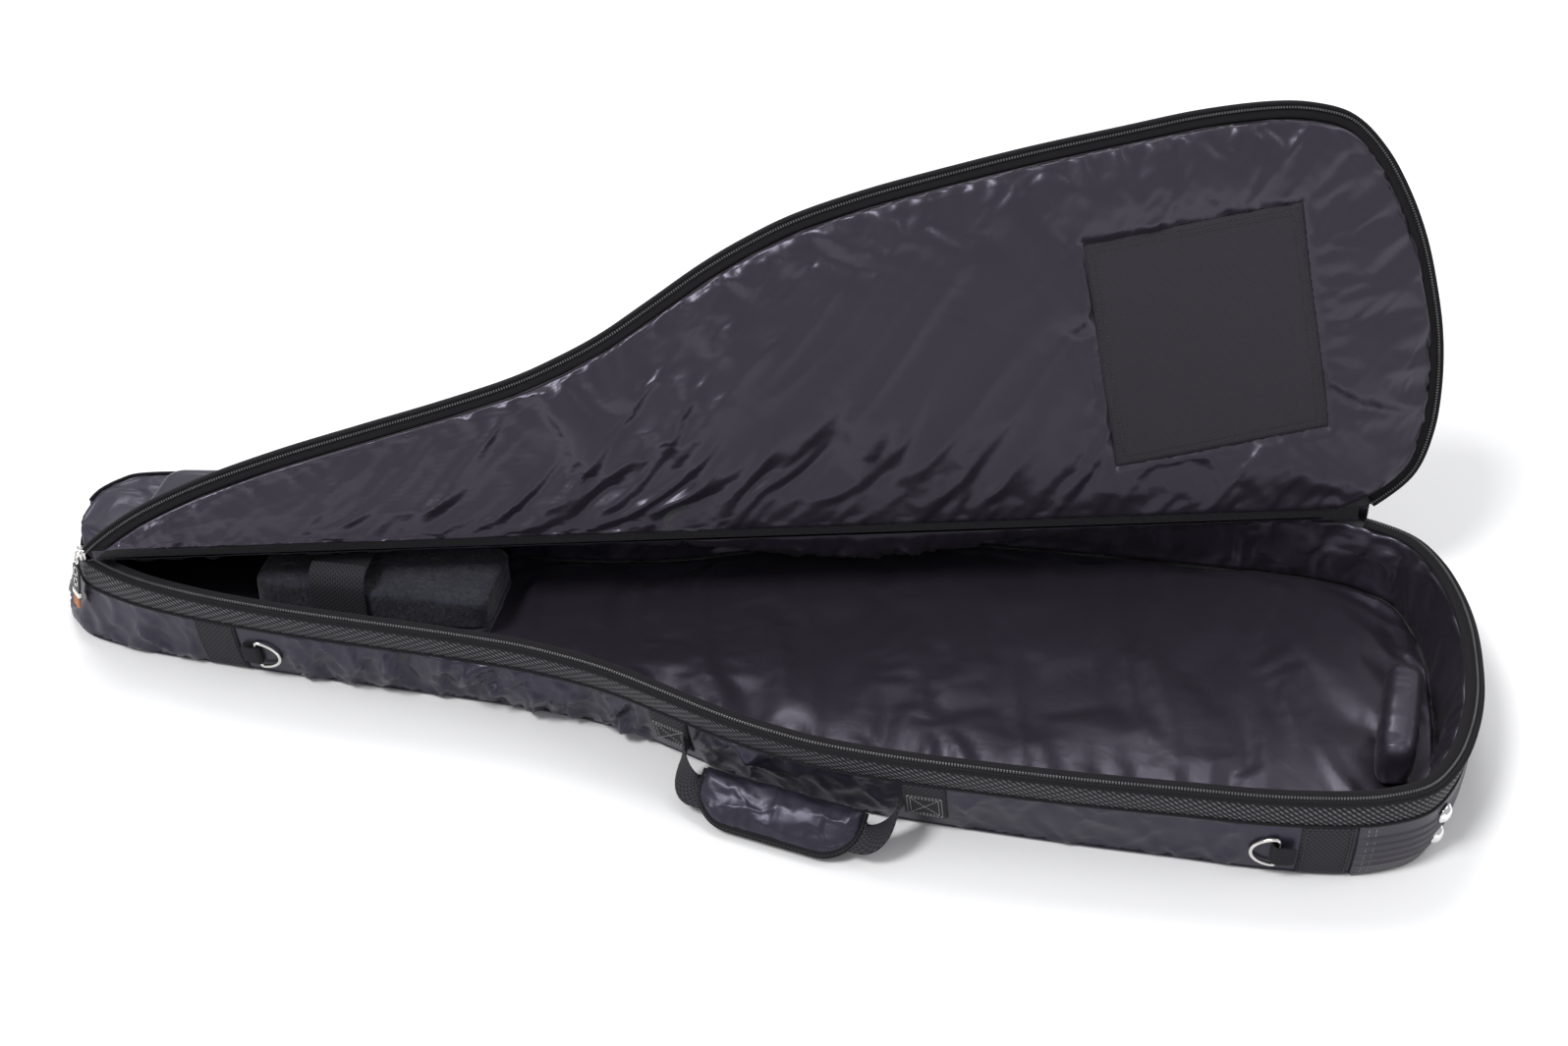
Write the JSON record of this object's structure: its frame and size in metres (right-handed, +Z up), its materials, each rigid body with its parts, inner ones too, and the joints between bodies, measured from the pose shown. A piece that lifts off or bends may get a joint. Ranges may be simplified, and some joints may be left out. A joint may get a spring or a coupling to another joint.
{
  "type": "padded gig bag",
  "caption": "Padded soft bag for an electric bass with a zipped fold-back lid, carry handle, webbing bands, D-rings, neck rest and tail guard.",
  "frame": {"origin": "middle of the back panel's underside, on the surface that the bag lies on", "axes": "+X from the head to the tail, +Y towards the hinge side, +Z up out of the opening"},
  "size_m": [1.213, 0.5198, 0.4266],
  "materials": {
    "nylon": "glossy dark navy-grey nylon",
    "lining": "shiny charcoal lining nylon",
    "foam": "closed-cell foam",
    "webbing": "matte black webbing",
    "mesh": "black diagonal mesh tape",
    "teeth": "dark coil zip teeth",
    "vinyl": "ribbed black vinyl",
    "chrome": "polished nickel",
    "fleece": "brushed dark plush",
    "patch": "matte heavy canvas",
    "puller": "black rubber",
    "orange": "orange leather"
  },
  "bodies": {
    "root": {"back_panel_shell": "nylon", "back_panel_foam": "foam", "back_panel_lining": "lining", "side_wall_shell": "nylon", "rim_mesh_band": "mesh", "side_wall_foam": "foam", "side_wall_lining": "lining", "zip_tape_base": "webbing", "zip_chain_base": "teeth", "hinge_strip_shell": "nylon", "hinge_strip_foam": "foam", "hinge_strip_lining": "lining", "hinge_gusset": "nylon", "side_band_head": "webbing", "side_band_tail": "webbing", "tail_guard": "vinyl", "handle_patch_head": "webbing", "handle_patch_tail": "webbing", "tail_foot_1": "chrome", "tail_foot_2": "chrome", "tail_foot_3": "chrome", "tail_foot_4": "chrome", "d_ring_tab_head": "webbing", "d_ring_tab_tail": "webbing", "neck_rest_block": "fleece", "neck_strap_over": "webbing", "tail_pad": "lining", "main_slider": "chrome", "head_pocket_gusset": "nylon", "head_pocket_zip": "teeth", "head_pocket_front": "nylon"},
    "lid": {"lid_shell": "nylon", "lid_foam": "foam", "lid_lining": "lining", "lid_edge_binding": "webbing", "zip_tape_lid": "webbing", "zip_chain_lid": "teeth", "bridge_patch": "patch", "music_pocket_gusset": "nylon", "music_pocket_zip": "teeth", "music_pocket_front": "nylon"},
    "handle": {"handle_strap": "webbing", "handle_grip": "nylon", "handle_binding": "webbing"},
    "ring_head": {"d_ring_head": "chrome"},
    "ring_tail": {"d_ring_tail": "chrome"},
    "neck_flap": {"neck_strap_near": "webbing"},
    "main_puller": {"main_puller_ring": "chrome", "main_puller_strip": "puller", "main_puller_band": "chrome", "main_puller_tab": "orange"},
    "head_slider": {"head_pocket_slider": "chrome"},
    "head_pull": {"head_pocket_pull": "chrome"},
    "music_slider": {"music_pocket_slider": "chrome"},
    "music_pull": {"music_pocket_pull": "chrome"}
  },
  "joints": [
    {"name": "lid_hinge", "type": "hinge", "parent": "root", "child": "lid", "pos_m": [-0.6, -0.0746, 0.0975], "axis": [-0.9758, -0.2186, 0], "range_deg": [-109.8, 10]},
    {"name": "handle_swing", "type": "hinge", "parent": "root", "child": "handle", "pos_m": [-0.00763, -0.15163, 0.043], "axis": [-0.9777, 0.21, 0], "range_deg": [0, 50]},
    {"name": "ring_head_swing", "type": "hinge", "parent": "root", "child": "ring_head", "pos_m": [-0.39568, -0.09745, 0.027], "axis": [0.0115, 0.1629, -0.9866], "range_deg": [0, 140]},
    {"name": "ring_tail_swing", "type": "hinge", "parent": "root", "child": "ring_tail", "pos_m": [0.45623, -0.18761, 0.027], "axis": [0.0097, -0.1047, 0.9945], "range_deg": [0, 140]},
    {"name": "neck_flap_peel", "type": "hinge", "parent": "root", "child": "neck_flap", "pos_m": [-0.341, -0.0435, 0.018], "axis": [1, 0, 0], "range_deg": [0, 45]},
    {"name": "main_puller_swing", "type": "hinge", "parent": "root", "child": "main_puller", "pos_m": [-0.56455, -0.06396, 0.084], "axis": [-0.7753, 0.6316, 0], "range_deg": [0, 140]},
    {"name": "head_zip_slide", "type": "slide", "parent": "root", "child": "head_slider", "axis": [-0.9899, -0.1414, 0], "range_m": [-0.12, 0.065]},
    {"name": "head_pull_swing", "type": "hinge", "parent": "head_slider", "child": "head_pull", "pos_m": [-0.4051, 0.04931, 0.1226], "axis": [-0.9899, -0.1414, 0], "range_deg": [0, 150]},
    {"name": "music_zip_slide", "type": "slide", "parent": "lid", "child": "music_slider", "axis": [0.943, 0.2786, 0.1821], "range_m": [-0.03, 0.3]},
    {"name": "music_pull_swing", "type": "hinge", "parent": "music_slider", "child": "music_pull", "pos_m": [0.09049, 0.19274, 0.32799], "axis": [0.943, 0.2786, 0.1821], "range_deg": [0, 150]}
  ]
}
